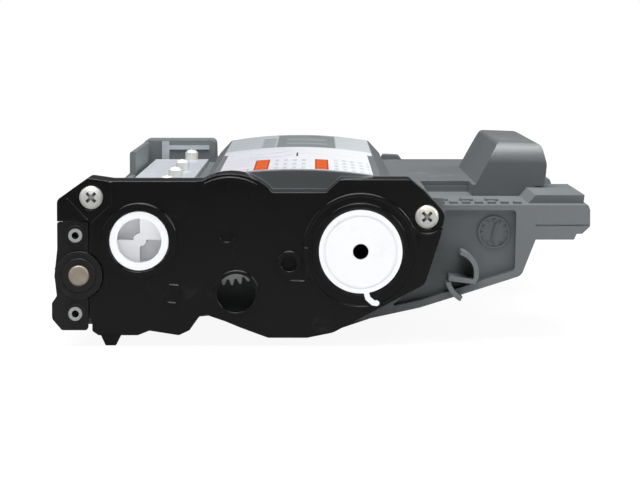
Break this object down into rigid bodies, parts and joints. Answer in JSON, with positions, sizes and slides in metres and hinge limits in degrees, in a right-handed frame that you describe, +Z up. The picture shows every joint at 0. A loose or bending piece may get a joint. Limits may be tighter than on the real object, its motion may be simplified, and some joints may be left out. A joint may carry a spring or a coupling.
{
  "type": "toner cartridge",
  "caption": "Long toner cartridge with a glossy black drive end cover, white drive coupling and filling plug, developer roller, grey hopper, labelled lid and grip.",
  "frame": {"origin": "middle of the base, on the surface that the cartridge stands on", "axes": "+X from the developer roller to the carrying arms, +Y from the drive end to the far end, +Z up"},
  "size_m": [0.1657, 0.29, 0.0593],
  "materials": {
    "grey_moulding": "fine moulded texture",
    "lid_moulding": "fine moulded texture",
    "black_cover": "glossy moulded, lightly scuffed",
    "dark_plate": "satin moulded",
    "white_plastic": "smooth moulded",
    "pale_gear": "moulded",
    "label": "printed film",
    "zinc": "zinc plated",
    "bright_sheet": "zinc-plated sheet",
    "tan_shaft": "turned, slightly worn",
    "steel_shaft": "ground",
    "black_rubber": "ground matt",
    "foam": "open cell",
    "felt": "pressed felt",
    "film": "thin clear-grey film"
  },
  "bodies": {
    "root": {"hopper_housing": "grey_moulding", "hopper_lid": "lid_moulding", "lid_label": "label", "gear_cover": "black_cover", "roller_end_plate": "dark_plate", "locating_tubes": "steel_shaft", "near_shaft_bush": "dark_plate", "far_shaft_bush": "dark_plate", "cover_screws": "zinc", "fill_plug": "white_plastic", "agitator_seals": "dark_plate", "doctor_bracket": "bright_sheet", "doctor_blade": "bright_sheet", "blade_screws": "zinc", "end_seals": "felt", "lower_seal_film": "film", "far_end_cover": "grey_moulding", "far_cover_screws": "zinc", "contact_plate": "bright_sheet"},
    "developer": {"developer_roller": "black_rubber", "developer_shaft": "tan_shaft", "developer_gear": "pale_gear"},
    "coupling": {"drive_coupling": "white_plastic"},
    "supply": {"supply_roller": "foam", "supply_shaft": "steel_shaft", "supply_gear": "pale_gear", "supply_clip": "zinc"},
    "idler": {"idler_gear": "pale_gear"},
    "agitator": {"agitator_shaft": "pale_gear", "agitator_film": "film", "agitator_gear": "pale_gear", "agitator_clip": "zinc"}
  },
  "joints": [
    {"name": "developer_spin", "type": "hinge", "parent": "root", "child": "developer", "pos_m": [-0.0734, 0, 0.02156], "axis": [0, 1, 0], "continuous": true},
    {"name": "coupling_spin", "type": "hinge", "parent": "root", "child": "coupling", "pos_m": [-0.055, 0, 0.0321], "axis": [0, 1, 0], "continuous": true},
    {"name": "supply_spin", "type": "hinge", "parent": "root", "child": "supply", "pos_m": [-0.06044, 0, 0.01536], "axis": [0, 1, 0], "continuous": true},
    {"name": "idler_spin", "type": "hinge", "parent": "root", "child": "idler", "pos_m": [-0.02826, 0, 0.03388], "axis": [0, 1, 0], "continuous": true},
    {"name": "agitator_spin", "type": "hinge", "parent": "root", "child": "agitator", "pos_m": [-0.00938, 0, 0.02515], "axis": [0, 1, 0], "continuous": true}
  ],
  "couplings": [
    {"joint": "coupling_spin", "follows": "developer_spin", "ratio": -0.51429},
    {"joint": "supply_spin", "follows": "developer_spin", "ratio": 0.9},
    {"joint": "idler_spin", "follows": "developer_spin", "ratio": 0.36923},
    {"joint": "agitator_spin", "follows": "developer_spin", "ratio": -0.39877}
  ]
}
